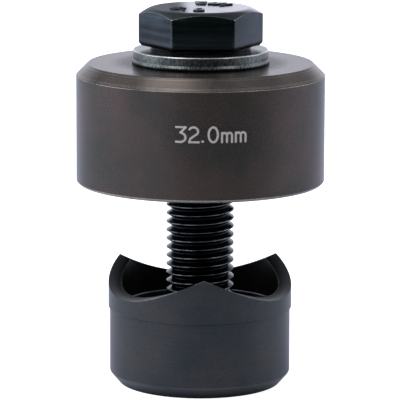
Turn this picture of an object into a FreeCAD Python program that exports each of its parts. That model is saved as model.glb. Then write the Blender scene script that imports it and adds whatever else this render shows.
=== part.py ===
import FreeCAD, Part
import math
import os

# A screw-drawn hole punch for sheet metal, in millimetres, +Z up.
# The punch stands on Z = 0 and everything is turned about the Z axis, which is the screw's.
# From the bottom up: punch, open gap for the sheet, die, washer, screw head.
# One cutting point and one flat of the screw head face -Y, which is the front.

# Punch: the hole that it cuts, its cutting ring and its relieved body
hole_d = 32.0            # cutting edge, the size of the hole
ring_wall = 2.3          # wall of the cutting ring
relief = 0.25            # the body below the ring is smaller by this on the radius
point_h = 21.05          # top of the three cutting points
point_count = 3
valley_drop = 4.9        # from the points down to the lowest places of the edge, outside
lip_tilt = 11.0          # degrees that the milled lip falls outwards
floor_h = 13.4           # floor inside the ring, and the step outside
floor_bevel = 0.4        # where the ring's inside meets the floor
step_bevel = 0.2         # height of the bevel from the ring down to the body
punch_chamfer_w = 1.75   # bottom chamfer, on the radius
punch_chamfer_h = 2.0
punch_countersink = 0.8  # at both ends of the punch's thread

# Screw: M12 x 1.5 with a hexagon head
screw_d = 11.8           # over the thread's crests
screw_len = 55.0         # under the head
screw_end_chamfer = 0.9
screw_in_punch = 9.75    # length of thread in the punch, at rest
thread_play = 0.05       # between the screw and the punch's bore, on the radius
head_af = 18.7           # across flats, a 19 mm spanner size
head_h = 7.5
head_top_r = 8.6         # flat disc on top of the head
head_bevel = 28.0        # degrees, bevel round the top of the head
head_corner_round = 0.4  # the hexagon's six upright edges
head_under_bevel = 0.35  # height of the small bevel under the hexagon
seat_d = 17.4            # turned seat under the head
seat_h = 0.6
neck_bevel = 0.3         # between the seat and the shank

# Washer
washer_d = 23.8
washer_t = 2.4
washer_bore_play = 0.6   # round the screw, on the radius
washer_edge = 0.25       # bevel on the upper outer edge

# Die: a cup with its mouth down
die_d = 43.1
die_h = 20.8
die_chamfer = 2.05       # top edge, 45 degrees
die_edge = 0.4           # small bevel on the mouth's outer edge
die_depth = 15.0         # depth of the hollow
cut_gap = 0.15           # between the cutting edge and the die's bore, on the radius
die_floor_bevel = 1.0    # where the bore meets the web
die_bore_play = 0.35     # round the screw, on the radius
die_countersink = 0.5    # on the web's hole, at the top

# Places along the axis, from the seats of the pieces
screw_tip_z = floor_h - screw_in_punch
head_z = screw_tip_z + screw_len
washer_z = head_z - washer_t
die_top_z = washer_z
die_z = die_top_z - die_h
hole_r = hole_d / 2.0
screw_r = screw_d / 2.0
front = -90.0            # the turn from +X to the front
hexagon_sides = 6
head_corner_r = head_af / 2.0 / math.cos(math.pi / hexagon_sides)


def v(x, y, z):
    return FreeCAD.Vector(x, y, z)


def turned(outline):
    """Solid turned about Z from a closed outline of (r, z) corners."""
    corners = [v(r, 0, z) for r, z in outline]
    face = Part.Face(Part.makePolygon(corners + corners[:1]))
    return face.revolve(v(0, 0, 0), v(0, 0, 1), 360)


def trough(turn):
    """Cutter for one trough of the lip, a cylinder lying along a radius and falling outwards.

    Its radius follows from the wanted points: two neighbouring troughs meet at point_h on
    the cutting edge, and each is lowest valley_drop below that.
    """
    tilt = math.radians(lip_tilt)
    half = math.pi / point_count
    along = hole_r * math.cos(half)
    across = hole_r * math.sin(half)
    rise = (valley_drop - (hole_r - along) * math.tan(tilt)) * math.cos(tilt)
    radius = (across ** 2 + rise ** 2) / (2.0 * rise)
    outwards = v(math.cos(tilt), 0, -math.sin(tilt))
    upwards = v(math.sin(tilt), 0, math.cos(tilt))
    lowest = v(hole_r, 0, point_h - valley_drop)
    start = lowest - outwards * (hole_r / math.cos(tilt)) + upwards * radius
    cutter = Part.makeCylinder(radius, 2.0 * hole_r, start, outwards)
    cutter.rotate(v(0, 0, 0), v(0, 0, 1), turn)
    return cutter


def make_punch():
    body_r = hole_r - relief
    inner_r = hole_r - ring_wall
    bore_r = screw_r + thread_play
    blank_h = point_h + valley_drop
    outline = [
        (bore_r + punch_countersink, 0),
        (body_r - punch_chamfer_w, 0),
        (body_r, punch_chamfer_h),
        (body_r, floor_h - step_bevel),
        (hole_r, floor_h),
        (hole_r, blank_h),
        (inner_r, blank_h),
        (inner_r, floor_h + floor_bevel),
        (inner_r - floor_bevel, floor_h),
        (bore_r + punch_countersink, floor_h),
        (bore_r, floor_h - punch_countersink),
        (bore_r, punch_countersink),
    ]
    punch = turned(outline)
    step = 360.0 / point_count
    for i in range(point_count):
        punch = punch.cut(trough(front + step * (i + 0.5)))
    return punch


def make_die():
    outer_r = die_d / 2.0
    bore_r = hole_r + cut_gap
    hole = screw_r + die_bore_play
    web_z = die_z + die_depth
    outline = [
        (bore_r, die_z),
        (outer_r - die_edge, die_z),
        (outer_r, die_z + die_edge),
        (outer_r, die_top_z - die_chamfer),
        (outer_r - die_chamfer, die_top_z),
        (hole + die_countersink, die_top_z),
        (hole, die_top_z - die_countersink),
        (hole, web_z),
        (bore_r - die_floor_bevel, web_z),
        (bore_r, web_z - die_floor_bevel),
    ]
    return turned(outline)


def make_washer():
    outer_r = washer_d / 2.0
    hole = screw_r + washer_bore_play
    return turned([
        (hole, washer_z),
        (outer_r, washer_z),
        (outer_r, head_z - washer_edge),
        (outer_r - washer_edge, head_z),
        (hole, head_z),
    ])


def hexagon_prism():
    step = 360.0 / hexagon_sides
    corners = []
    for i in range(hexagon_sides + 1):
        angle = math.radians(front + step * (i + 0.5))
        corners.append(v(head_corner_r * math.cos(angle), head_corner_r * math.sin(angle), head_z + seat_h))
    prism = Part.Face(Part.makePolygon(corners)).extrude(v(0, 0, head_h - seat_h))
    upright = [e for e in prism.Edges if abs(e.tangentAt(e.FirstParameter).z) > 0.99]
    return prism.makeFillet(head_corner_round, upright)


def make_draw_screw():
    seat_r = seat_d / 2.0
    under_z = head_z + seat_h
    top_z = head_z + head_h
    bevel_h = (head_corner_r - head_top_r) * math.tan(math.radians(head_bevel))
    bevelled = turned([
        (0, under_z),
        (head_corner_r - head_under_bevel, under_z),
        (head_corner_r, under_z + head_under_bevel),
        (head_corner_r, top_z - bevel_h),
        (head_top_r, top_z),
        (0, top_z),
    ])
    head = hexagon_prism().common(bevelled)
    shank = turned([
        (0, screw_tip_z),
        (screw_r - screw_end_chamfer, screw_tip_z),
        (screw_r, screw_tip_z + screw_end_chamfer),
        (screw_r, head_z - neck_bevel),
        (screw_r + neck_bevel, head_z),
        (seat_r, head_z),
        (seat_r, under_z),
        (0, under_z),
    ])
    return head.fuse(shank).removeSplitter()


pieces = {
    "draw_screw": make_draw_screw(),
    "washer": make_washer(),
    "die": make_die(),
    "punch": make_punch(),
}

os.makedirs("parts", exist_ok=True)
for name, shape in pieces.items():
    shape.exportStep("parts/" + name + ".step")
    box = shape.BoundBox
    print(name, "valid", shape.isValid(), "solids", len(shape.Solids), "volume", round(shape.Volume, 1),
          "x", round(box.XMin, 2), round(box.XMax, 2), "z", round(box.ZMin, 2), round(box.ZMax, 2))
print("gap for the sheet", round(die_z - point_h, 2))
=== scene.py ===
import math

import bmesh
import bpy
from mathutils import Matrix, Quaternion, Vector


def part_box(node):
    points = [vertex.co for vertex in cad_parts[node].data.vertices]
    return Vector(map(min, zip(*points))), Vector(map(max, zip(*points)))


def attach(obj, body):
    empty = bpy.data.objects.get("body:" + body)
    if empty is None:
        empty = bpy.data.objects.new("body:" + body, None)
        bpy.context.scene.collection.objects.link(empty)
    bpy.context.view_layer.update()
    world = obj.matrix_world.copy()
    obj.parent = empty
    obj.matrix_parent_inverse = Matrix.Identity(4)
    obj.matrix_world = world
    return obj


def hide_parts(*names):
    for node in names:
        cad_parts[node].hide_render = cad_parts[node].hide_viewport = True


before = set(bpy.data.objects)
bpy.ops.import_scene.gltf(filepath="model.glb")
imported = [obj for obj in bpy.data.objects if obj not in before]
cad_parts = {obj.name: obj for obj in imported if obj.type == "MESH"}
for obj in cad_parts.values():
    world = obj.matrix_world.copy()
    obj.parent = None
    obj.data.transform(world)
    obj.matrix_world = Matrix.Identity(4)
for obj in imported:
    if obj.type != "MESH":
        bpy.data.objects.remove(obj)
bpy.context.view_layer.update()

mm = 0.001
micron = 0.001 * mm


# Punch: turned from tool steel and tapped right through for the screw. Three troughs milled
# across its ring leave three cutting points, and its body is relieved below the cutting ring.
# It is blackened, with fine turning marks all round.

punch_low, punch_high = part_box("punch")
hole_r = punch_high.x
point_z = punch_high.z
ring_wall = 2.3 * mm
relief = 0.25 * mm
valley_drop = 4.9 * mm
lip_tilt = math.radians(11)
punch_floor_z = 13.4 * mm
punch_floor_round = 0.2 * mm
step_bevel = 0.2 * mm
punch_chamfer_w = 1.75 * mm
punch_chamfer_h = 2.0 * mm
countersink = 0.8 * mm
countersink_step = 0.1 * mm
cutting_edge_round = 0.06 * mm

pitch = 1.5 * mm
crest_z = 0.68 * mm
crest_r = 5.9 * mm
root_r = 4.98 * mm
thread_gap = 0.05 * mm
nut_minor_r = 5.2 * mm
thread_end_gap = 0.05 * mm

# The thread's outline over one turn, as shares of the pitch from the crest and of the depth.
thread_outline = [(-0.47, 0.005), (-0.43, 0.03), (-0.09, 0.91), (-0.07, 0.965), (-0.035, 0.995),
                  (0.035, 0.995), (0.07, 0.965), (0.09, 0.91), (0.43, 0.03), (0.47, 0.005)]


def thread_points(angle, low_z, high_z, radius_at):
    """Points (r, z, wear) up one side of a right-hand thread, held between low_z and high_z.

    radius_at gives the distance from the axis for a share of the thread's depth and a z.
    """
    start = crest_z + pitch * angle / math.tau
    first = math.floor((low_z - crest_z) / pitch) - 2
    last = math.ceil((high_z - crest_z) / pitch) + 1
    points = []
    for turn in range(first, last + 1):
        for along, height in thread_outline:
            z = start + pitch * (turn + along)
            held = min(max(z, low_z), high_z)
            # The crests are rubbed steel, which also paints their bright highlight lines.
            points.append((radius_at(height, held), held, 1.0 if height > 0.95 else 0.0))
    return points


def rounded(corners, steps=3):
    """Points (r, z, wear) along an outline of corners (r, z, rounding), each made an arc.

    A corner may add how rubbed its arc is, 1 if not given, and then the flat after it, 0 if not. On some
    corners and flats this also paints a highlight.
    """
    points = []
    flat_before = 0.0
    for i, (r, z, rounding, *given) in enumerate(corners):
        rubbed = given[0] if given else 1.0
        flat_after = given[1] if len(given) > 1 else 0.0
        here = Vector((r, z))
        if rounding <= 0 or i == 0 or i == len(corners) - 1:
            points.append((r, z, flat_before))
            flat_before = flat_after
            continue
        to_last = (Vector(corners[i - 1][:2]) - here).normalized()
        to_next = (Vector(corners[i + 1][:2]) - here).normalized()
        half = to_last.angle(to_next) / 2
        middle = (to_last + to_next).normalized()
        centre = here + middle * (rounding / math.sin(half))
        first = here + to_last * (rounding / math.tan(half)) - centre
        last = here + to_next * (rounding / math.tan(half)) - centre
        for step in range(steps + 1):
            spoke = first.lerp(last, step / steps).normalized() * rounding
            wear_and_glint = flat_before if step == 0 else flat_after if step == steps else rubbed
            points.append((centre.x + spoke.x, centre.y + spoke.y, wear_and_glint))
        flat_before = flat_after
    return points


def spun(name, angles, outline_at, closed):
    """A turned piece: one outline of (r, z, wear) points per angle, joined all the way round."""
    verts = []
    wear_and_glint = []
    columns = []
    for angle in angles:
        column = []
        for r, z, worn_and_glinting in outline_at(angle):
            column.append(len(verts))
            verts.append((r * math.cos(angle), r * math.sin(angle), z))
            wear_and_glint.append(worn_and_glinting)
        columns.append(column)
    faces = []
    for here, there in zip(columns, columns[1:]):
        count = len(here)
        for j in range(count if closed else count - 1):
            k = (j + 1) % count
            faces.append((here[j], there[j], there[k], here[k]))
    mesh = bpy.data.meshes.new(name)
    mesh.from_pydata(verts, [], faces)
    mesh.attributes.new("wear_and_glint", "FLOAT", "POINT").data.foreach_set("value", wear_and_glint)
    bm = bmesh.new()
    bm.from_mesh(mesh)
    bmesh.ops.remove_doubles(bm, verts=bm.verts, dist=1e-7)
    bmesh.ops.dissolve_degenerate(bm, edges=bm.edges, dist=1e-8)
    bmesh.ops.recalc_face_normals(bm, faces=bm.faces)
    bm.to_mesh(mesh)
    bm.free()
    mesh.shade_smooth()
    mesh.set_sharp_from_angle(angle=math.radians(32))
    piece = bpy.data.objects.new(name, mesh)
    bpy.context.scene.collection.objects.link(piece)
    flats = piece.modifiers.new("flat_faces_stay_flat", "WEIGHTED_NORMAL")
    flats.keep_sharp = True
    return piece


def evenly(count):
    """Angles once round, from 0 to a full turn, both named."""
    return [math.tau * i / count for i in range(count + 1)]


def lip_height(r, angle):
    """Height of the milled lip: the lowest of the three troughs, each a cylinder on its side."""
    half = math.pi / 3
    off = (angle - math.pi / 2 + half) % (2 * half) - half
    along = hole_r * math.cos(half)
    across = hole_r * math.sin(half)
    rise = (valley_drop - (hole_r - along) * math.tan(lip_tilt)) * math.cos(lip_tilt)
    radius = (across ** 2 + rise ** 2) / (2 * rise)
    bottom = point_z - valley_drop + (hole_r - r * math.cos(off)) * math.tan(lip_tilt)
    side = r * math.sin(off)
    return bottom + (radius - math.sqrt(radius ** 2 - side ** 2)) / math.cos(lip_tilt)


def punch_thread_r(height, z):
    """Radius of the thread cut into the punch, which opens into a countersink at both ends."""
    deep = root_r + (crest_r - root_r) * height + thread_gap
    start_r = max(nut_minor_r, deep)
    bevel = countersink - min(z - punch_low.z, punch_floor_z - z)
    return max(start_r, crest_r + bevel - countersink_step)


def punch_outline(angle):
    """From the bottom outwards and up over the lip to the floor, then down through the thread."""
    body_r = hole_r - relief
    inner_r = hole_r - ring_wall
    bore_r = crest_r + thread_gap
    lip = [hole_r - ring_wall * share for share in (0.25, 0.5, 0.75)]
    outer = rounded([
        (bore_r + countersink, 0, 0),
        (body_r - punch_chamfer_w, 0, 0.3 * mm, 0.0),
        # The lighter lines at the bottom chamfer's top edge, at the step and at the step's outer corner are
        # rubbed steel and partly painted highlights.
        (body_r, punch_chamfer_h, 0.6 * mm, 0.3),
        (body_r, punch_floor_z - step_bevel, 0.04 * mm, 0.6),
        (hole_r, punch_floor_z, 0.10 * mm, 1.7),
        (hole_r, lip_height(hole_r, angle), cutting_edge_round),
        (lip[0], lip_height(lip[0], angle), 0),
        (lip[1], lip_height(lip[1], angle), 0),
        (lip[2], lip_height(lip[2], angle), 0),
        (inner_r, lip_height(inner_r, angle), cutting_edge_round),
        (inner_r, punch_floor_z, punch_floor_round),
        (bore_r + countersink, punch_floor_z, 0),
    ])
    thread = thread_points(angle, thread_end_gap, punch_floor_z - thread_end_gap, punch_thread_r)
    return outer + thread[::-1]


def fresh_material(name):
    """A material with only an output and a Principled BSDF, and a short way to add nodes."""
    made = bpy.data.materials.new(name)
    made.use_nodes = True
    tree = made.node_tree
    tree.nodes.clear()
    out = tree.nodes.new("ShaderNodeOutputMaterial")
    bsdf = tree.nodes.new("ShaderNodeBsdfPrincipled")
    tree.links.new(bsdf.outputs[0], out.inputs[0])
    return made, tree, bsdf


def math_node(tree, operation, a, b=None, c=None, clamp=False):
    """One Math node: numbers are set on its sockets, other values are linked to them."""
    node = tree.nodes.new("ShaderNodeMath")
    node.operation = operation
    node.use_clamp = clamp
    for socket, value in zip(node.inputs, (a, b, c)):
        if value is None:
            continue
        if isinstance(value, (int, float)):
            socket.default_value = value
        else:
            tree.links.new(value, socket)
    return node.outputs[0]


def eased(tree, value, start, end, low, high):
    """Goes smoothly from low to high while the value goes from start to end."""
    node = tree.nodes.new("ShaderNodeMapRange")
    node.interpolation_type = "SMOOTHSTEP"
    for name, number in (("From Min", start), ("From Max", end), ("To Min", low), ("To Max", high)):
        node.inputs[name].default_value = number
    tree.links.new(value, node.inputs["Value"])
    return node.outputs[0]


def object_axes(tree):
    """The three coordinates of the turned piece: x, y and z, in metres."""
    apart = tree.nodes.new("ShaderNodeSeparateXYZ")
    tree.links.new(tree.nodes.new("ShaderNodeTexCoord").outputs["Object"], apart.inputs[0])
    return apart.outputs


def from_axis(tree):
    """Distance from the turned piece's own axis."""
    x, y = object_axes(tree)[:2]
    squared = math_node(tree, "MULTIPLY_ADD", x, x, math_node(tree, "MULTIPLY", y, y))
    return math_node(tree, "SQRT", squared)


def turning_marks_group():
    """Fine rings left by the lathe tool: a height and a light and dark streak value.

    They follow the height less a share of the distance from the axis, so that sides, flat ends
    and chamfers all show them.
    """
    tree = bpy.data.node_groups.new("turning_marks", "ShaderNodeTree")
    face = tree.interface
    spacing = face.new_socket("Rings per mm", in_out="INPUT", socket_type="NodeSocketFloat")
    spacing.default_value = 6.0
    waver = face.new_socket("Waver", in_out="INPUT", socket_type="NodeSocketFloat")
    waver.default_value = 0.02
    face.new_socket("Height", in_out="OUTPUT", socket_type="NodeSocketFloat")
    face.new_socket("Streak", in_out="OUTPUT", socket_type="NodeSocketFloat")
    start = tree.nodes.new("NodeGroupInput")
    end = tree.nodes.new("NodeGroupOutput")
    place = tree.nodes.new("ShaderNodeTexCoord").outputs["Object"]
    z = object_axes(tree)["Z"]
    share_of_radius = 1.27
    along = math_node(tree, "SUBTRACT", z, math_node(tree, "MULTIPLY", from_axis(tree), share_of_radius))
    along = math_node(tree, "DIVIDE", along, mm)
    wander = tree.nodes.new("ShaderNodeTexNoise")
    wander.inputs["Scale"].default_value = 60.0
    wander.inputs["Detail"].default_value = 1.0
    tree.links.new(place, wander.inputs["Vector"])
    off = math_node(tree, "MULTIPLY", wander.outputs[0], start.outputs["Waver"])
    line = math_node(tree, "MULTIPLY", math_node(tree, "ADD", along, off), start.outputs["Rings per mm"])
    fine = tree.nodes.new("ShaderNodeTexNoise")
    fine.noise_dimensions = "1D"
    fine.inputs["Scale"].default_value = 1.0
    fine.inputs["Detail"].default_value = 3.0
    fine.inputs["Roughness"].default_value = 0.7
    tree.links.new(line, fine.inputs["W"])
    broad = tree.nodes.new("ShaderNodeTexNoise")
    broad.noise_dimensions = "1D"
    broad.inputs["Scale"].default_value = 0.22
    broad.inputs["Detail"].default_value = 2.0
    tree.links.new(line, broad.inputs["W"])
    tree.links.new(fine.outputs[0], end.inputs["Height"])
    mixed = math_node(tree, "MULTIPLY", fine.outputs[0], broad.outputs[0])
    tree.links.new(math_node(tree, "MULTIPLY", mixed, 4.0), end.inputs["Streak"])
    return tree


turning_marks = turning_marks_group()


def patchy_group():
    """Uneven blackening: slow cloudy patches and fine grain, both about 0.5 in the middle."""
    tree = bpy.data.node_groups.new("patchy_blackening", "ShaderNodeTree")
    face = tree.interface
    size = face.new_socket("Patches per m", in_out="INPUT", socket_type="NodeSocketFloat")
    size.default_value = 120.0
    shift = face.new_socket("Shift", in_out="INPUT", socket_type="NodeSocketVector")
    shift.default_value = (0.0, 0.0, 0.0)
    face.new_socket("Patch", in_out="OUTPUT", socket_type="NodeSocketFloat")
    face.new_socket("Grain", in_out="OUTPUT", socket_type="NodeSocketFloat")
    start = tree.nodes.new("NodeGroupInput")
    end = tree.nodes.new("NodeGroupOutput")
    moved = tree.nodes.new("ShaderNodeVectorMath")
    moved.operation = "ADD"
    tree.links.new(tree.nodes.new("ShaderNodeTexCoord").outputs["Object"], moved.inputs[0])
    tree.links.new(start.outputs["Shift"], moved.inputs[1])
    for output, factor, upwards in (("Patch", 1.0, 1.0), ("Grain", 24.0, 3.5)):
        squashed = tree.nodes.new("ShaderNodeMapping")
        squashed.inputs["Scale"].default_value = (1.0, 1.0, upwards)
        tree.links.new(moved.outputs[0], squashed.inputs["Vector"])
        noise = tree.nodes.new("ShaderNodeTexNoise")
        noise.inputs["Detail"].default_value = 5.0
        noise.inputs["Roughness"].default_value = 0.65
        tree.links.new(squashed.outputs[0], noise.inputs["Vector"])
        how_many = math_node(tree, "MULTIPLY", start.outputs["Patches per m"], factor)
        tree.links.new(how_many, noise.inputs["Scale"])
        tree.links.new(noise.outputs[0], end.inputs[output])
    return tree


patchy_blackening = patchy_group()


def group_node(tree, group, **values):
    """A shared effect placed in a material, with its inputs given by name."""
    node = tree.nodes.new("ShaderNodeGroup")
    node.node_tree = group
    for name, value in values.items():
        node.inputs[name.replace("_", " ")].default_value = value
    return node


def ramp(tree, factor, stops):
    """A colour that follows a value through (position, colour) stops."""
    node = tree.nodes.new("ShaderNodeValToRGB")
    elements = node.color_ramp.elements
    while len(elements) < len(stops):
        elements.new(0.5)
    for element, (position, colour) in zip(elements, stops):
        element.position = position
        element.color = (*colour, 1.0)
    tree.links.new(factor, node.inputs[0])
    return node.outputs[0]


def mix_colour(tree, factor, a, b, kind="MIX"):
    """Colour a where factor is 0, b where it is 1. MULTIPLY darkens a by b instead."""
    node = tree.nodes.new("ShaderNodeMix")
    node.data_type = "RGBA"
    node.blend_type = kind
    for socket, value in ((node.inputs[0], factor), (node.inputs[6], a), (node.inputs[7], b)):
        if isinstance(value, tuple):
            socket.default_value = (*value, 1.0)
        elif isinstance(value, (int, float)):
            socket.default_value = value
        else:
            tree.links.new(value, socket)
    return node.outputs[2]


def bump_into(tree, bsdf, layers):
    """Stacks bumps of (height, distance in metres, strength) into the shader's normal."""
    normal = None
    for height, distance, strength in layers:
        bump = tree.nodes.new("ShaderNodeBump")
        bump.inputs["Distance"].default_value = distance
        bump.inputs["Strength"].default_value = strength
        tree.links.new(height, bump.inputs["Height"])
        if normal is not None:
            tree.links.new(normal, bump.inputs["Normal"])
        normal = bump.outputs[0]
    tree.links.new(normal, bsdf.inputs["Normal"])


def edge_wear_and_glint_group():
    """0 on open faces, up to 1 on the rounded edges, broken up by a noise of about 0.5: rubbed edges, and
    on some edges a painted highlight.
    """
    tree = bpy.data.node_groups.new("edge_wear_and_glint", "ShaderNodeTree")
    face = tree.interface
    face.new_socket("Noise", in_out="INPUT", socket_type="NodeSocketFloat")
    face.new_socket("Worn", in_out="OUTPUT", socket_type="NodeSocketFloat")
    start = tree.nodes.new("NodeGroupInput")
    end = tree.nodes.new("NodeGroupOutput")
    wear_and_glint = tree.nodes.new("ShaderNodeAttribute")
    wear_and_glint.attribute_name = "wear_and_glint"
    broken = math_node(tree, "MULTIPLY_ADD", start.outputs["Noise"], 3.0, -1.0, clamp=True)
    worn_and_glinting = math_node(tree, "MULTIPLY", wear_and_glint.outputs["Fac"], broken, clamp=True)
    tree.links.new(worn_and_glinting, end.inputs["Worn"])
    return tree


edge_wear_and_glint = edge_wear_and_glint_group()


def worn_and_glinting_edge(tree, noise):
    """The rubbed edges and painted highlights placed in a material, broken up by one of the material's own
    noises.
    """
    node = group_node(tree, edge_wear_and_glint)
    tree.links.new(noise, node.inputs["Noise"])
    return node.outputs["Worn"]


def blackened_steel(name, dark, light, edge, rings_per_mm, ring_height, streaks, rough, patch, shift,
                    grain, glancing, axis_shade):
    """Turned and blackened steel: dark metal, rings from the tool, patches, rubbed edges with painted
    highlights, painted shade near the axis.

    Its patches go from dark to light, and edge is the bare steel where it is rubbed, which on
    some edges is also a painted highlight. streaks is how much the rings darken it and
    ring_height how high they stand, patch the number of patches per metre and shift where their
    pattern starts, grain how much the fine grain shows, rough the middle roughness, and glancing
    how bright it is seen almost along the surface. Near the axis the steel is painted black and
    dull as shade, in the hollows and on the die round the washer: axis_shade gives the distances
    where this painted shade starts to thin and where it ends.
    """
    made, tree, bsdf = fresh_material(name)
    rings = group_node(tree, turning_marks, Rings_per_mm=rings_per_mm, Waver=0.05)
    patches = group_node(tree, patchy_blackening, Patches_per_m=patch, Shift=shift)
    base = ramp(tree, patches.outputs["Patch"], [(0.36, dark), (0.62, light)])
    grainy = mix_colour(tree, grain, base, ramp(tree, patches.outputs["Grain"],
                        [(0.35, (0.45, 0.45, 0.45)), (0.65, (1.0, 1.0, 1.0))]), "MULTIPLY")
    streaked = mix_colour(tree, streaks, grainy, ramp(tree, rings.outputs["Streak"],
                          [(0.2, (0.4, 0.4, 0.4)), (1.2, (1.0, 1.0, 1.0))]), "MULTIPLY")
    here_and_there = math_node(tree, "MULTIPLY_ADD", patches.outputs["Patch"], 4.0, -1.1, clamp=True)
    # Rubbed edges in bare steel colour; where the outlines give high values they are painted highlights as
    # well.
    worn_and_glinting = worn_and_glinting_edge(tree, math_node(tree, "MULTIPLY", rings.outputs["Streak"], 0.5))
    worn_and_glinting = math_node(tree, "MULTIPLY", worn_and_glinting, here_and_there)
    # Painted shade: near the axis, in the hollows and on the die round the washer, the colour goes to near
    # black and the glancing reflection is dimmed.
    axis_shade_mask = eased(tree, from_axis(tree), axis_shade[0], axis_shade[1], 1.0, 0.0)
    colour = mix_colour(tree, worn_and_glinting, mix_colour(tree, axis_shade_mask, streaked, (0.006, 0.007, 0.008)), edge)
    tree.links.new(colour, bsdf.inputs["Base Color"])
    bsdf.inputs["Metallic"].default_value = 0.6
    clean = (glancing, glancing, glancing)
    dull = tuple(0.4 * part for part in clean)
    bsdf.inputs["Specular Tint"].default_value = (*clean, 1.0)
    tree.links.new(mix_colour(tree, axis_shade_mask, clean, dull), bsdf.inputs["Specular Tint"])
    spread = math_node(tree, "MULTIPLY_ADD", patches.outputs["Grain"], 0.14, rough - 0.07)
    tree.links.new(spread, bsdf.inputs["Roughness"])
    bump_into(tree, bsdf, [(rings.outputs["Height"], ring_height, 1.0),
                           (patches.outputs["Grain"], 5.5 * micron * grain, 1.0)])
    return made


punch = spun("punch_body", evenly(360), punch_outline, closed=True)
punch.data.materials.append(blackened_steel(
    "blackened_punch_steel", (0.035, 0.043, 0.050), (0.053, 0.054, 0.055), (0.30, 0.33, 0.37),
    rings_per_mm=2.8, ring_height=2.5 * micron, streaks=0.32, rough=0.36, patch=90.0,
    shift=(0.02, 0.0, 0.03), grain=0.55, glancing=0.85, axis_shade=(13.9 * mm, 15.7 * mm)))
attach(punch, "punch")
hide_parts("punch")


# Die: a thick turned cup with its mouth down. The punch pulls up into its hollow, and the
# chamfer round its top shows the tool marks most. Browned steel, with the hole size marked on
# its side in pale strokes.

die_low, die_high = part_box("die")
die_r = die_high.x
die_skin_r = die_r - 0.02 * mm    # leaves room for the size mark, which stands proud
die_chamfer = 2.05 * mm
die_mouth_bevel = 0.4 * mm
die_depth = 15.0 * mm
cut_gap = 0.15 * mm
web_hole_r = 6.25 * mm
web_countersink = 0.5 * mm
die_floor_round = 1.5 * mm


def die_outline(angle):
    """From half way up the bore down to the mouth, round the outside, and back through the web."""
    bore_r = hole_r + cut_gap
    web_z = die_low.z + die_depth
    half_way_z = die_low.z + die_depth / 2
    return rounded([
        (bore_r, half_way_z, 0),
        (bore_r, die_low.z, 0.08 * mm),
        # The mouth bevel's lighter flat and arc are partly a painted reflection of the bright floor.
        (die_skin_r - die_mouth_bevel, die_low.z, 0.06 * mm, 1.0, 0.5),
        (die_skin_r, die_low.z + die_mouth_bevel, 0.20 * mm, 0.9),
        # The chamfer's lower edge is a painted highlight line on rubbed steel, and its flat is lighter
        # rubbed steel with a painted sheen.
        (die_skin_r, die_high.z - die_chamfer, 0.10 * mm, 3.0, 0.28),
        (die_skin_r - die_chamfer, die_high.z, 0.12 * mm),
        (web_hole_r + web_countersink, die_high.z, 0.08 * mm),
        (web_hole_r, die_high.z - web_countersink, 0.08 * mm),
        (web_hole_r, web_z, 0.08 * mm),
        (bore_r, web_z, die_floor_round),
        (bore_r, half_way_z + 0.1 * mm, 0),
    ])


die = spun("die_cup", evenly(360), die_outline, closed=True)
die.data.materials.append(blackened_steel(
    "browned_die_steel", (0.050, 0.050, 0.044), (0.082, 0.061, 0.053), (0.42, 0.39, 0.36),
    rings_per_mm=1.6, ring_height=3 * micron, streaks=0.10, rough=0.27, patch=110.0,
    shift=(0.0, 0.0, 0.0), grain=0.4, glancing=0.72, axis_shade=(12.2 * mm, 16.5 * mm)))
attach(die, "die")
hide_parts("die")


# Size mark on the die: the hole size, etched in pale strokes a little right of the front. It is
# drawn with lines and bends of one width, as an engraving machine does, on the die's round side.

mark_stroke = 0.40 * mm
mark_rise = 0.015 * mm
mark_height = 2.52 * mm
mark_low = 1.54 * mm
mark_z = die_low.z + 10.38 * mm
mark_centre = math.radians(-90 + 1.9)


def bend(centre, radii, first, last, steps=10):
    """Points along an ellipse's arc, from one angle to another in degrees."""
    points = []
    for step in range(steps + 1):
        angle = math.radians(first + (last - first) * step / steps)
        points.append((centre[0] + radii[0] * math.cos(angle), centre[1] + radii[1] * math.sin(angle)))
    return points


# Each character is a list of strokes, for a width w and a height h.

def three(w, h):
    return [[(0.02 * w, h), (w, h)],
            [(w, h), (0.40 * w, 0.60 * h)] + bend((0.42 * w, 0.31 * h), (0.56 * w, 0.31 * h), 84, -90)
            + [(0, 0.02 * h)]]


def two(w, h):
    foot = (0.03 * w, 0)
    return [bend((0.47 * w, 0.72 * h), (0.47 * w, 0.28 * h), 150, -32) + [(0.14 * w, 0.24 * h), foot],
            [foot, (w, 0)]]


def point(w, h):
    return [[(0.42 * w, 0.05 * h), (0.46 * w, 0.05 * h)]]


def nought(w, h):
    return [bend((0.46 * w, 0.5 * h), (0.45 * w, 0.5 * h), 90, 450, 24)]


def letter_m(w, h):
    """A small m, which is as high as mark_low and not as h."""
    low = mark_low
    arch = 0.22 * w
    rise = 0.16 * h
    paths = [[(0, 0), (0, low)]]
    for i in range(2):
        start = i * 2.2 * arch
        paths.append(bend((start + 1.1 * arch, low - rise), (1.1 * arch, rise), 180, 0, 8)
                     + [(start + 2.2 * arch, 0)])
    return paths


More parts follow.
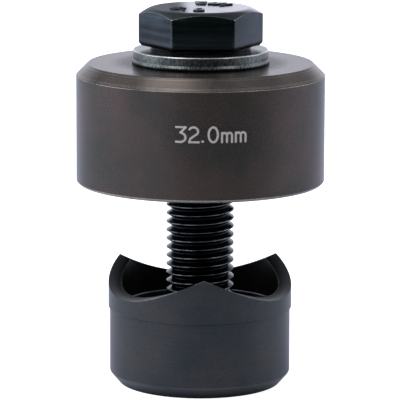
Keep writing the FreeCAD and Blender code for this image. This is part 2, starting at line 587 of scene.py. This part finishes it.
def stroke_ridge(bm, path, width, height, place):
    """One stroke with round ends: a low ridge along a path, laid on a surface by place()."""
    spine = [Vector(p) for p in path]
    first = (spine[1] - spine[0]).normalized()
    last = (spine[-1] - spine[-2]).normalized()
    half = width / 2
    lead = [(spine[0] - first * half * math.sin(a), half * math.cos(a)) for a in (1.5, 1.1, 0.7, 0.35)]
    tail = [(spine[-1] + last * half * math.sin(a), half * math.cos(a)) for a in (0.35, 0.7, 1.1, 1.5)]
    row = lead + [(p, half) for p in spine] + tail
    rows = []
    for i, (here, reach) in enumerate(row):
        to_next = row[min(i + 1, len(row) - 1)][0] - row[max(i - 1, 0)][0]
        side = Vector((-to_next.y, to_next.x)).normalized()
        ring = []
        for across, up in ((-1.0, -0.5), (-0.8, 1.0), (0.8, 1.0), (1.0, -0.5)):
            spot = here + side * (across * reach)
            ring.append(bm.verts.new(place(spot.x, spot.y, up * height)))
        rows.append(ring)
    for a, b in zip(rows, rows[1:]):
        for j in range(3):
            bm.faces.new((a[j], b[j], b[j + 1], a[j + 1]))


def stroked(name, paths, width, height, place):
    """A mark made of ridges, one along each path."""
    bm = bmesh.new()
    for path in paths:
        stroke_ridge(bm, path, width, height, place)
    bmesh.ops.recalc_face_normals(bm, faces=bm.faces)
    mesh = bpy.data.meshes.new(name)
    bm.to_mesh(mesh)
    bm.free()
    mesh.shade_smooth()
    mark = bpy.data.objects.new(name, mesh)
    bpy.context.scene.collection.objects.link(mark)
    return mark


def on_die_side(u, v, up):
    """A spot on the die's round side, u to the right of the mark's middle and v up."""
    angle = mark_centre + u / die_r
    r = die_skin_r + up
    return (r * math.cos(angle), r * math.sin(angle), mark_z + v)


size_mark_row = [
    (three, -5.75 * mm, 1.64 * mm),
    (two, -3.56 * mm, 1.62 * mm),
    (point, -2.06 * mm, 1.80 * mm),
    (nought, -0.29 * mm, 1.72 * mm),
    (letter_m, 1.97 * mm, 1.76 * mm),
    (letter_m, 4.35 * mm, 1.76 * mm),
]
size_mark_paths = []
for character, start, width in size_mark_row:
    for path in character(width, mark_height):
        size_mark_paths.append([(start + u, v) for u, v in path])
size_mark = stroked("size_mark", size_mark_paths, mark_stroke, mark_rise, on_die_side)


def etched_grey():
    made, tree, bsdf = fresh_material("etched_grey")
    patches = group_node(tree, patchy_blackening, Patches_per_m=900.0)
    colour = ramp(tree, patches.outputs["Grain"], [(0.3, (0.38, 0.355, 0.335)), (0.7, (0.60, 0.565, 0.54))])
    tree.links.new(colour, bsdf.inputs["Base Color"])
    bsdf.inputs["Metallic"].default_value = 0.3
    bsdf.inputs["Roughness"].default_value = 0.6
    bump_into(tree, bsdf, [(patches.outputs["Grain"], 10 * micron, 1.0)])
    return made


size_mark.data.materials.append(etched_grey())
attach(size_mark, "die")


# Washer: stamped from plate, so its upper edge is rolled and its side, rough from the shear,
# steps in a little above the burnished lower band. Plated, brighter than the rest, with a painted
# highlight on its rubbed upper edge, and painted dark as shade where it meets the die.

washer_low, washer_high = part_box("washer")
washer_r = washer_high.x
washer_hole_r = 6.5 * mm
washer_roll = 0.25 * mm
shear_low = 0.45 * mm
shear_high = 0.9 * mm
shear_step = 0.18 * mm


def washer_outline(angle):
    """From half way up the hole down and round the outside, and back over the top."""
    half_way_z = (washer_low.z + washer_high.z) / 2
    return rounded([
        (washer_hole_r, half_way_z, 0),
        (washer_hole_r, washer_low.z, 0.08 * mm),
        (washer_r, washer_low.z, 0.12 * mm),
        (washer_r, washer_low.z + shear_low, 0.2 * mm, 0.0),
        (washer_r - shear_step, washer_low.z + shear_high, 0.2 * mm, 0.0),
        # The rolled upper edge is rubbed and also carries a painted highlight line.
        (washer_r - shear_step, washer_high.z, washer_roll, 1.2),
        (washer_hole_r, washer_high.z, 0.2 * mm),
        (washer_hole_r, half_way_z + 0.05 * mm, 0),
    ])


def stretched_noise(tree, per_metre, detail):
    """Noise with long grains, so many per metre along x, y and z."""
    stretch = tree.nodes.new("ShaderNodeMapping")
    stretch.inputs["Scale"].default_value = per_metre
    tree.links.new(tree.nodes.new("ShaderNodeTexCoord").outputs["Object"], stretch.inputs["Vector"])
    noise = tree.nodes.new("ShaderNodeTexNoise")
    noise.inputs["Scale"].default_value = 1.0
    noise.inputs["Detail"].default_value = detail
    noise.inputs["Roughness"].default_value = 0.6
    tree.links.new(stretch.outputs[0], noise.inputs["Vector"])
    return noise.outputs[0]


def washer_material():
    """Dull plating, torn upright by the shear, rubbed bright on its upper edge with a painted highlight,
    and painted dark as shade at its foot.
    """
    made, tree, bsdf = fresh_material("plated_washer_steel")
    patches = group_node(tree, patchy_blackening, Patches_per_m=2400.0)
    torn = stretched_noise(tree, (4200.0, 4200.0, 1700.0), 3.0)
    colour = ramp(tree, torn, [(0.36, (0.045, 0.054, 0.051)), (0.66, (0.155, 0.17, 0.163))])
    worn_and_glinting = worn_and_glinting_edge(tree, patches.outputs["Grain"])
    # Rubbed rim in bright steel colour, partly a painted highlight.
    plated = mix_colour(tree, worn_and_glinting, colour, (0.75, 0.76, 0.78))
    z = object_axes(tree)["Z"]
    # Painted shade: the side is painted near black where it meets the die.
    contact_shade = eased(tree, z, washer_low.z + 0.1 * mm, washer_low.z + shear_low, 0.85, 0.0)
    tree.links.new(mix_colour(tree, contact_shade, plated, (0.012, 0.014, 0.013)), bsdf.inputs["Base Color"])
    bsdf.inputs["Metallic"].default_value = 1.0
    spread = math_node(tree, "MULTIPLY_ADD", torn, 0.3, 0.15)
    tree.links.new(spread, bsdf.inputs["Roughness"])
    bump_into(tree, bsdf, [(torn, 15 * micron, 1.0), (patches.outputs["Grain"], 3 * micron, 1.0)])
    return made


washer = spun("washer_ring", evenly(240), washer_outline, closed=True)
washer.data.materials.append(washer_material())
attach(washer, "washer")
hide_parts("washer")


# Draw screw: forged hexagon head with a bevelled top and a turned seat, fully threaded
# M12 x 1.5 shank with a chamfered end. Blackened and oiled, so glossier than the punch.

screw_low, screw_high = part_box("draw_screw")
head_z = washer_high.z
head_af = 18.7 * mm
head_corner_round = 0.4 * mm
head_mark_height = 0.25 * mm
head_top_z = screw_high.z - head_mark_height
head_top_r = 8.6 * mm
head_bevel = math.radians(28)
head_under_bevel = 0.6 * mm
stripe_shade_z = head_z + 2.6 * mm      # a dark stripe of painted shade along the flat on the left
front_corner_x = 5.5 * mm         # the two upright edges beside the front flat
seat_r = 8.7 * mm
seat_h = 0.6 * mm
neck_r = 5.4 * mm
neck_h = 2.2 * mm
screw_end_chamfer = 0.9 * mm


def hexagon_r(angle):
    """Distance from the axis to the side of the hexagon, and 1 on its six rounded corners."""
    flat = head_af / 2
    off = math.radians(abs((math.degrees(angle) % 60) - 30))
    turn = math.pi / 6
    meets = math.atan((flat - head_corner_round) * math.tan(turn) / flat)
    if off <= meets:
        return flat / math.cos(off), 0.0
    centre = (flat - head_corner_round) / math.cos(turn)
    slant = turn - off
    arc = math.sqrt(head_corner_round ** 2 - (centre * math.sin(slant)) ** 2)
    return centre * math.cos(slant) + arc, 1.0


def screw_thread_r(height, z):
    """Radius of the screw's thread, which fades into the neck and is chamfered at the tip."""
    full = root_r + (crest_r - root_r) * height
    from_tip = crest_r - screw_end_chamfer + (z - screw_low.z)
    fade = min(max((z - (head_z - neck_h - pitch)) / pitch, 0.0), 1.0)
    return min(full + (neck_r - full) * fade, from_tip)


def screw_outline(angle):
    """From the tip up the thread and the neck, out under the head and over it to the axis."""
    side_r, corner = hexagon_r(angle)
    under_z = head_z + seat_h
    side_top_z = head_top_z - (side_r - head_top_r) * math.tan(head_bevel)
    head = rounded([
        (neck_r, head_z - neck_h, 0),
        (neck_r, head_z, 0.3 * mm),
        (seat_r, head_z, 0.08 * mm),
        (seat_r, under_z, 0),
        (side_r - head_under_bevel, under_z, 0.2 * mm, 0.0),
        # Partly painted highlights: the light upright corners, the glints at their tops and the lighter top
        # bevel are rubbed steel that also stands for light caught there.
        (side_r, under_z + head_under_bevel, 0.5 * mm, 0.2, corner * 0.15),
        (side_r, side_top_z, 0.12 * mm, 0.7 + corner * 3.5, 0.1),
        (head_top_r, head_top_z, 2.2 * mm, 0.1),
        (0, head_top_z, 0),
    ])
    thread = thread_points(angle, screw_low.z, head_z - neck_h, screw_thread_r)
    return [(0, screw_low.z, 0.0)] + thread + head


def screw_angles():
    """Every 2.5 degrees, and every 0.4 degrees at the six rounded corners."""
    degrees = {2.5 * step for step in range(145)}
    for corner in range(0, 361, 60):
        degrees |= {round(corner + 0.4 * step, 3) for step in range(-7, 8)}
    return [math.radians(d) for d in sorted(degrees) if 0 <= d <= 360]


def head_material():
    """Forged and blackened, with streaks drawn round the flats.

    The left is more banded, with a dark stripe of painted shade along it, the right painted paler
    towards its side as a sheen, the foot of the flats painted black as shade, and the left part of the top
    dull with scale.
    """
    made, tree, bsdf = fresh_material("forged_head_steel")
    patches = group_node(tree, patchy_blackening, Patches_per_m=260.0)
    streaks = stretched_noise(tree, (40.0, 40.0, 650.0), 4.0)
    x, y, z = object_axes(tree)
    even = ramp(tree, streaks, [(0.41, (0.012, 0.020, 0.019)), (0.5, (0.018, 0.027, 0.026)),
                                (0.59, (0.028, 0.038, 0.039))])
    banded = ramp(tree, streaks, [(0.41, (0.006, 0.011, 0.012)), (0.5, (0.022, 0.037, 0.044)),
                                  (0.59, (0.050, 0.069, 0.078))])
    left = eased(tree, x, -front_corner_x - 0.4 * mm, -front_corner_x + 0.4 * mm, 1.0, 0.0)
    # Painted sheen: the right flats are painted paler towards the right side, where more light falls.
    right = eased(tree, x, front_corner_x, front_corner_x + 5.0 * mm, 0.0, 1.0)
    base = mix_colour(tree, right, mix_colour(tree, left, even, banded), (0.056, 0.070, 0.078))
    # Painted shade: a dark stripe along the flat on the left.
    from_groove = math_node(tree, "ABSOLUTE", math_node(tree, "SUBTRACT", z, stripe_shade_z))
    stripe_shade = math_node(tree, "MULTIPLY", eased(tree, from_groove, 0.15 * mm, 1.1 * mm, 0.8, 0.0), left)
    # Painted shade: the foot of the flats next to the washer, and the stripe on the left, are painted near
    # black.
    foot_z = head_z + seat_h + head_under_bevel
    foot = eased(tree, z, foot_z + 0.1 * mm, foot_z + 0.5 * mm, 0.9, 0.0)
    base = mix_colour(tree, math_node(tree, "MAXIMUM", stripe_shade, foot), base, (0.004, 0.006, 0.006))
    patchy = mix_colour(tree, 0.5, base, ramp(tree, patches.outputs["Patch"],
                        [(0.35, (0.4, 0.4, 0.4)), (0.65, (1.0, 1.0, 1.0))]), "MULTIPLY")
    # Rubbed edges in bare steel colour, which at the tops of the upright corners are painted glints.
    worn_and_glinting = worn_and_glinting_edge(tree, patches.outputs["Grain"])
    tree.links.new(mix_colour(tree, worn_and_glinting, patchy, (0.42, 0.44, 0.46)), bsdf.inputs["Base Color"])
    bsdf.inputs["Metallic"].default_value = 0.85
    bsdf.inputs["Specular Tint"].default_value = (0.88, 0.88, 0.90, 1.0)
    spread = math_node(tree, "MULTIPLY_ADD", streaks, 0.16, 0.08)
    scale_on_left = eased(tree, x, -4.5 * mm, -1.5 * mm, 0.35, 0.0)
    on_top = eased(tree, z, head_top_z - 1.4 * mm, head_top_z - 0.7 * mm, 0.0, 1.0)
    scale = math_node(tree, "MULTIPLY", scale_on_left, on_top)
    tree.links.new(math_node(tree, "ADD", spread, scale), bsdf.inputs["Roughness"])
    bump_into(tree, bsdf, [(streaks, 40 * micron, 1.0), (patches.outputs["Patch"], 20 * micron, 1.0)])
    return made


def thread_material():
    """Rolled thread, wet with oil: glossy, painted black shade in the root, crests rubbed bright in places
    with painted highlights.
    """
    made, tree, bsdf = fresh_material("rolled_thread_steel")
    patches = group_node(tree, patchy_blackening, Patches_per_m=500.0)
    base = ramp(tree, patches.outputs["Patch"],
                [(0.3, (0.016, 0.020, 0.021)), (0.75, (0.028, 0.034, 0.036))])
    # Painted shade: the root of the thread is painted near black.
    root_shade = eased(tree, from_axis(tree), root_r + 0.12 * mm, root_r + 0.53 * mm, 0.6, 0.0)
    root_shaded = mix_colour(tree, root_shade, base, (0.001, 0.001, 0.001))
    # Rubbed crests in bright steel colour, partly a painted highlight line along each crest.
    worn_and_glinting = worn_and_glinting_edge(tree, patches.outputs["Patch"])
    tree.links.new(mix_colour(tree, worn_and_glinting, root_shaded, (0.19, 0.21, 0.21)), bsdf.inputs["Base Color"])
    bsdf.inputs["Metallic"].default_value = 1.0
    bsdf.inputs["Specular Tint"].default_value = (0.72, 0.74, 0.74, 1.0)
    spread = math_node(tree, "MULTIPLY_ADD", patches.outputs["Patch"], 0.14, 0.08)
    tree.links.new(spread, bsdf.inputs["Roughness"])
    bump_into(tree, bsdf, [(patches.outputs["Patch"], 20 * micron, 1.0)])
    return made


screw = spun("draw_screw_body", screw_angles(), screw_outline, closed=False)
screw.data.materials.append(head_material())
screw.data.materials.append(thread_material())
for face in screw.data.polygons:
    face.material_index = 0 if face.center.z > head_z - 0.5 * mm else 1
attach(screw, "screw")
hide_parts("draw_screw")


# Marks forged on top of the head: the thread size at the back and the strength class at the
# front, as plain raised characters. They are as black as the head.

head_mark_stroke = 0.5 * mm
head_mark_tall = 2.7 * mm
head_mark_wide = 1.6 * mm
head_mark_r = 6.2 * mm
head_mark_step = math.radians(25)


def eight(w, h):
    return [bend((w / 2, 0.77 * h), (0.40 * w, 0.23 * h), -90, 270, 16),
            bend((w / 2, 0.27 * h), (0.50 * w, 0.27 * h), 90, 450, 18)]


def one(w, h):
    return [[(0.2 * w, 0.75 * h), (0.6 * w, h), (0.6 * w, 0)]]


def capital_m(w, h):
    return [[(0, 0), (0, h), (w / 2, 0.35 * h), (w, h), (w, 0)]]


def head_marks(characters, turn):
    """Strokes of characters set round an arc, middle one at turn from the front, feet outwards."""
    paths = []
    for i, character in enumerate(characters):
        angle = turn + (i - (len(characters) - 1) / 2) * head_mark_step
        for path in character(head_mark_wide, head_mark_tall):
            placed = []
            for u, v in path:
                spot = Vector((u - head_mark_wide / 2, v - head_mark_r))
                spot.rotate(Matrix.Rotation(angle, 2))
                placed.append((spot.x, spot.y))
            paths.append(placed)
    return paths


def on_head_top(u, v, up):
    """A spot on the disc on top of the head, u to the right and v to the back."""
    return (u, v, head_top_z + up)


front_marks = head_marks((eight, point, eight), math.radians(-31))
back_marks = head_marks((capital_m, one, two), math.radians(152))
forged_marks = stroked("forged_marks", front_marks + back_marks, head_mark_stroke, head_mark_height,
                       on_head_top)
forged_marks.data.materials.append(screw.data.materials[0])
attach(forged_marks, "screw")


# Floor and light: a wide pale floor under a white surround, a soft box overhead, one at each
# side, one behind, a smaller lamp high at each side in front, and the dark of the room on the
# camera's side.

def area_lamp(name, place, target, width, height, radiance, colour):
    """A soft box of the given brightness, unseen by the camera."""
    light = bpy.data.lights.new(name, "AREA")
    light.shape = "RECTANGLE"
    light.size = width
    light.size_y = height
    light.energy = radiance * width * height * math.pi
    light.color = colour
    lamp = bpy.data.objects.new(name, light)
    lamp.location = place
    lamp.rotation_euler = (Vector(target) - Vector(place)).to_track_quat("-Z", "Y").to_euler()
    lamp.visible_camera = False
    bpy.context.scene.collection.objects.link(lamp)


daylight = (0.88, 0.89, 1.0)
middle = (0.0, 0.0, 0.03)
warm_light = (1.0, 0.95, 0.92)
area_lamp("top_box", (-0.35, -0.15, 0.9), middle, 0.5, 0.5, 2.2, warm_light)
area_lamp("left_box", (-0.85, 0.10, 0.35), middle, 0.7, 0.8, 1.5, daylight)
area_lamp("right_box", (0.85, 0.20, 0.35), middle, 0.5, 0.8, 1.1, daylight)
area_lamp("left_lamp", (-0.62, -0.48, 0.62), middle, 0.40, 0.35, 6.0, warm_light)
area_lamp("right_lamp", (0.64, -0.50, 0.62), middle, 0.40, 0.35, 3.0, warm_light)
area_lamp("back_box", (0.0, 1.1, 0.40), middle, 1.4, 0.6, 0.60, daylight)


def between(tree, factor, a, b):
    """Value a where factor is 0, b where it is 1."""
    rise = math_node(tree, "SUBTRACT", b, a)
    return math_node(tree, "ADD", a, math_node(tree, "MULTIPLY", factor, rise))


def mix_shaders(tree, factor, a, b):
    """Shader a where factor is 0, b where it is 1."""
    mix = tree.nodes.new("ShaderNodeMixShader")
    for socket, value in zip(mix.inputs, (factor, a, b)):
        tree.links.new(value, socket)
    return mix.outputs[0]


def surround():
    """White to the camera. To the part it is bright low down behind and at the sides, dimmer
    overhead, and dark in front, where the room is."""
    world = bpy.data.worlds.new("white_surround")
    bpy.context.scene.world = world
    world.use_nodes = True
    tree = world.node_tree
    tree.nodes.clear()
    out = tree.nodes.new("ShaderNodeOutputWorld")
    seen = tree.nodes.new("ShaderNodeBackground")
    seen.inputs["Color"].default_value = (1.0, 1.0, 1.0, 1.0)
    seen.inputs["Strength"].default_value = 1.0
    lit = tree.nodes.new("ShaderNodeBackground")
    lit.inputs["Color"].default_value = (*daylight, 1.0)
    apart = tree.nodes.new("ShaderNodeSeparateXYZ")
    tree.links.new(tree.nodes.new("ShaderNodeTexCoord").outputs["Generated"], apart.inputs[0])
    back = eased(tree, apart.outputs["Y"], -0.85, 0.0, 0.0, 1.0)
    overhead = eased(tree, apart.outputs["Z"], 0.12, 0.48, 1.05, 0.45)
    front = eased(tree, apart.outputs["Z"], 0.05, 0.5, 0.09, 0.3)
    tree.links.new(between(tree, back, front, overhead), lit.inputs["Strength"])
    path = tree.nodes.new("ShaderNodeLightPath")
    mixed = mix_shaders(tree, path.outputs["Is Camera Ray"], lit.outputs[0], seen.outputs[0])
    tree.links.new(mixed, out.inputs[0])


surround()

floor_mesh = bpy.data.meshes.new("floor")
reach = 6.0
room_turn = math.radians(17)      # the dark room lies this far to the right of the front
floor_mesh.from_pydata([(-reach, -reach, 0), (reach, -reach, 0), (reach, reach, 0), (-reach, reach, 0)],
                       [], [(0, 1, 2, 3)])
floor = bpy.data.objects.new("floor", floor_mesh)
bpy.context.scene.collection.objects.link(floor)


def floor_material():
    """Pale floor. In the steel's reflections it is bluish, and in front it is painted darker with distance,
    as the shade of the unlit room.
    """
    made, tree, bsdf = fresh_material("pale_floor")
    path = tree.nodes.new("ShaderNodeLightPath")
    reflected = path.outputs["Is Glossy Ray"]
    pale = mix_colour(tree, reflected, (0.86, 0.86, 0.86), (0.72, 0.78, 0.92))
    tree.links.new(pale, bsdf.inputs["Base Color"])
    glow = mix_colour(tree, reflected, (1.0, 1.0, 1.0), (0.80, 0.86, 1.0))
    tree.links.new(glow, bsdf.inputs["Emission Color"])
    shown = math_node(tree, "MULTIPLY", path.outputs["Is Camera Ray"], 0.82)
    strength = math_node(tree, "MULTIPLY_ADD", reflected, 0.32, shown)
    tree.links.new(strength, bsdf.inputs["Emission Strength"])
    bsdf.inputs["Roughness"].default_value = 0.8
    x, y = object_axes(tree)[:2]
    away = from_axis(tree)
    ahead = math_node(tree, "MULTIPLY_ADD", x, math.sin(room_turn),
                      math_node(tree, "MULTIPLY", y, -math.cos(room_turn)))
    towards = eased(tree, math_node(tree, "DIVIDE", ahead, away), 0.45, 1.0, 0.0, 1.0)
    further = eased(tree, away, 0.05, 0.45, 0.30, 1.0)
    # Painted shade: in reflections the floor in front turns this dark colour, for the unlit room.
    dark = tree.nodes.new("ShaderNodeBsdfDiffuse")
    dark.inputs["Color"].default_value = (0.05, 0.075, 0.07, 1.0)
    room = math_node(tree, "MULTIPLY", math_node(tree, "MULTIPLY", towards, further), reflected)
    mixed = mix_shaders(tree, room, bsdf.outputs[0], dark.outputs[0])
    out = next(node for node in tree.nodes if node.type == "OUTPUT_MATERIAL")
    tree.links.new(mixed, out.inputs[0])
    return made


floor_mesh.materials.append(floor_material())


# Camera: a long lens from a little above and a little to the left of the front, placed so that
# the outlines fall where the photograph has them.

camera_azimuth = math.radians(-2.5)
camera_elevation = math.radians(10.42)
camera_distance = 0.555
camera_roll = math.radians(0.2)
aim = Vector((0.0, 0.0, 0.0321))
camera_data = bpy.data.cameras.new("camera")
camera_data.lens = 286.8
camera_data.sensor_width = 36.0
camera_data.shift_x = -0.0005
camera_data.clip_start = 0.05
camera_data.clip_end = 50.0
camera = bpy.data.objects.new("camera", camera_data)
back = Vector((math.sin(camera_azimuth) * math.cos(camera_elevation),
               -math.cos(camera_azimuth) * math.cos(camera_elevation), math.sin(camera_elevation)))
camera.location = aim + back * camera_distance
look = (-back).to_track_quat("-Z", "Y")
camera.rotation_mode = "QUATERNION"
camera.rotation_quaternion = look @ Quaternion((0, 0, 1), camera_roll)
bpy.context.scene.collection.objects.link(camera)
bpy.context.scene.camera = camera
bpy.context.scene.view_settings.view_transform = "Standard"
